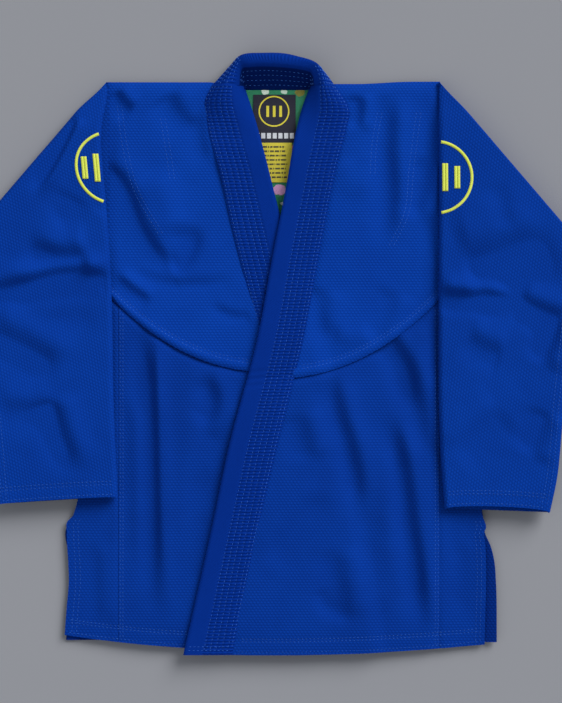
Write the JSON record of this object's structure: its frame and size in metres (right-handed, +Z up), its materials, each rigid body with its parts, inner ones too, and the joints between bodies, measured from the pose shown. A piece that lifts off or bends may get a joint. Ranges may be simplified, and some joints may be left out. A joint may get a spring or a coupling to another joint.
{
  "type": "martial arts jacket",
  "caption": "Child's wrap-front martial arts jacket in blue pearl-weave cotton, lying flat with both sleeves folded down, quilted collar band and open side vents.",
  "frame": {"origin": "on the surface the jacket lies on, under the middle of its outline", "axes": "+Z up out of the cloth, +Y from the hem to the collar, +X towards the wearer's left"},
  "size_m": [0.66, 0.65, 0.0239],
  "materials": {
    "weave": "matte cotton pearl weave",
    "band": "matte cotton drill with stitched rows",
    "core": "matte foam-backed webbing",
    "lining": "smooth satin print",
    "label": "woven label",
    "care_label": "printed satin label",
    "tape": "matte cotton tape",
    "embroidery": "satin embroidery thread"
  },
  "bodies": {
    "body": {"back_yoke": "weave", "back_skirt": "weave", "back_hem_turning": "tape", "back_lining": "lining", "neck_label": "label", "care_label": "care_label", "collar_shell": "band", "collar_core": "core", "collar_facing": "band", "left_yoke_side": "weave", "left_skirt_side": "weave", "left_shoulder_turn": "weave", "left_side_panel_back": "weave", "left_side_panel_front": "weave", "left_underarm_gusset": "weave", "left_side_turn": "weave", "left_sleeve_head_back": "weave", "left_sleeve_head_front": "weave", "left_band_neck": "band", "left_shoulder_patch": "tape", "left_vent_facing_front": "tape", "left_vent_facing_back": "tape", "right_yoke_side": "weave", "right_skirt_side": "weave", "right_shoulder_turn": "weave", "right_side_panel_back": "weave", "right_side_panel_front": "weave", "right_underarm_gusset": "weave", "right_side_turn": "weave", "right_sleeve_head_back": "weave", "right_sleeve_head_front": "weave", "right_band_neck": "band", "right_shoulder_patch": "tape", "right_vent_facing_front": "tape", "right_vent_facing_back": "tape"},
    "left_front": {"left_yoke": "weave", "left_skirt": "weave", "left_band": "band", "left_band_core": "core", "left_front_hem_turning": "tape"},
    "left_sleeve": {"left_sleeve_front": "weave", "left_sleeve_back": "weave", "left_sleeve_overarm_turn": "weave", "left_sleeve_underarm_seam": "weave", "left_cuff_facing": "tape", "left_emblem_back": "embroidery", "left_emblem_front": "embroidery"},
    "right_front": {"right_yoke": "weave", "right_skirt": "weave", "right_band": "band", "right_band_core": "core", "right_front_hem_turning": "tape"},
    "right_sleeve": {"right_sleeve_front": "weave", "right_sleeve_back": "weave", "right_sleeve_overarm_turn": "weave", "right_sleeve_underarm_seam": "weave", "right_cuff_facing": "tape", "right_emblem_back": "embroidery", "right_emblem_front": "embroidery"}
  },
  "joints": [
    {"name": "left_sleeve_unfold", "type": "hinge", "parent": "body", "child": "left_sleeve", "pos_m": [0.18, 0.292, 0.012], "axis": [-0.6536, 0.7568, 0], "range_deg": [0, 180]},
    {"name": "right_sleeve_unfold", "type": "hinge", "parent": "body", "child": "right_sleeve", "pos_m": [-0.18, 0.292, 0.012], "axis": [-0.6536, -0.7568, 0], "range_deg": [0, 180]},
    {"name": "left_front_open", "type": "hinge", "parent": "body", "child": "left_front", "pos_m": [0.018, 0.285, 0.0191], "axis": [-0.2418, 0.9703, 0], "range_deg": [0, 150]},
    {"name": "right_front_open", "type": "hinge", "parent": "body", "child": "right_front", "pos_m": [-0.008, 0.285, 0.0136], "axis": [-0.0849, -0.9964, 0], "range_deg": [0, 60]}
  ],
  "couplings": [
    {"joint": "right_front_open", "follows": "left_front_open", "ratio": 0.4}
  ]
}
